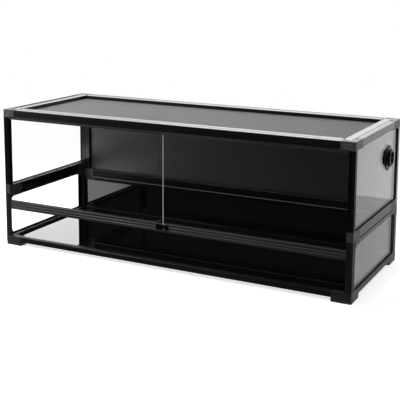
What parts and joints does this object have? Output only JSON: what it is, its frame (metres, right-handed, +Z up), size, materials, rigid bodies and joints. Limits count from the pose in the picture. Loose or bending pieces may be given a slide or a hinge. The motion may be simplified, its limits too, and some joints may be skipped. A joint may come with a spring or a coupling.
{
  "type": "reptile terrarium",
  "caption": "Long glass reptile tank in a black profile frame with sliding front doors, a lift-out mesh top, glossy black back and floor, and a cable port.",
  "frame": {"origin": "on the table, under the middle of the whole box, port included", "axes": "+X to the right seen from the front, +Y from the front to the back, +Z up"},
  "size_m": [1.227, 0.46, 0.465],
  "materials": {
    "frame_profile": "satin black profile",
    "screen_bar": "satin black profile",
    "corner_block": "fine-grained moulded black",
    "door_track": "extruded, slightly shiny",
    "clear_glass": "clear, polished edges",
    "black_panel": "black, mirror gloss",
    "seal_rubber": "matt",
    "screw_steel": "black oxide",
    "lock_plastic": "semi-gloss",
    "screen_mesh": "dark coated wire",
    "port_plastic": "satin moulded"
  },
  "bodies": {
    "tank": {"bottom_corner_front_left": "corner_block", "bottom_corner_front_right": "corner_block", "bottom_corner_back_left": "corner_block", "bottom_corner_back_right": "corner_block", "mid_corner_front_left": "corner_block", "mid_corner_front_right": "corner_block", "mid_corner_back_left": "corner_block", "mid_corner_back_right": "corner_block", "top_corner_front_left": "corner_block", "top_corner_front_right": "corner_block", "top_corner_back_left": "corner_block", "top_corner_back_right": "corner_block", "bottom_rail_front": "frame_profile", "bottom_rail_back": "frame_profile", "bottom_rail_left": "frame_profile", "bottom_rail_right": "frame_profile", "top_rail_front": "frame_profile", "top_rail_back": "frame_profile", "top_rail_left": "frame_profile", "top_rail_right": "frame_profile", "mid_rail_back": "frame_profile", "mid_rail_left": "frame_profile", "mid_rail_right": "frame_profile", "lower_post_front_left": "frame_profile", "lower_post_front_right": "frame_profile", "lower_post_back_left": "frame_profile", "lower_post_back_right": "frame_profile", "upper_post_front_left": "frame_profile", "upper_post_front_right": "frame_profile", "upper_post_back_left": "frame_profile", "upper_post_back_right": "frame_profile", "lower_track": "door_track", "upper_track": "door_track", "floor_panel": "black_panel", "lower_back_panel": "black_panel", "upper_back_panel": "black_panel", "lower_glass_front": "clear_glass", "lower_glass_left": "clear_glass", "lower_glass_right": "clear_glass", "upper_glass_left": "clear_glass", "upper_glass_right": "clear_glass", "panel_seals": "seal_rubber", "frame_screws": "screw_steel", "lock_housing": "corner_block", "port_body": "port_plastic", "port_nut": "port_plastic"},
    "left_door": {"door_left": "clear_glass", "door_pull": "corner_block"},
    "right_door": {"door_right": "clear_glass"},
    "bolt": {"lock_bolt": "lock_plastic"},
    "screen": {"screen_frame": "screen_bar", "screen_net": "screen_mesh", "screen_spline": "seal_rubber", "screen_screws": "screw_steel"},
    "shutter": {"port_cap": "port_plastic"}
  },
  "joints": [
    {"name": "left_door_slide", "type": "slide", "parent": "tank", "child": "left_door", "axis": [1, 0, 0], "range_m": [0, 0.585]},
    {"name": "right_door_slide", "type": "slide", "parent": "tank", "child": "right_door", "axis": [-1, 0, 0], "range_m": [0, 0.565]},
    {"name": "bolt_slide", "type": "slide", "parent": "tank", "child": "bolt", "axis": [0, 0, 1], "range_m": [0, 0.007]},
    {"name": "screen_lift", "type": "slide", "parent": "tank", "child": "screen", "axis": [0, 0, 1], "range_m": [0, 0.12]},
    {"name": "shutter_turn", "type": "hinge", "parent": "tank", "child": "shutter", "pos_m": [0.6075, 0.12, 0.358], "axis": [1, 0, 0], "range_deg": [0, 180]}
  ]
}
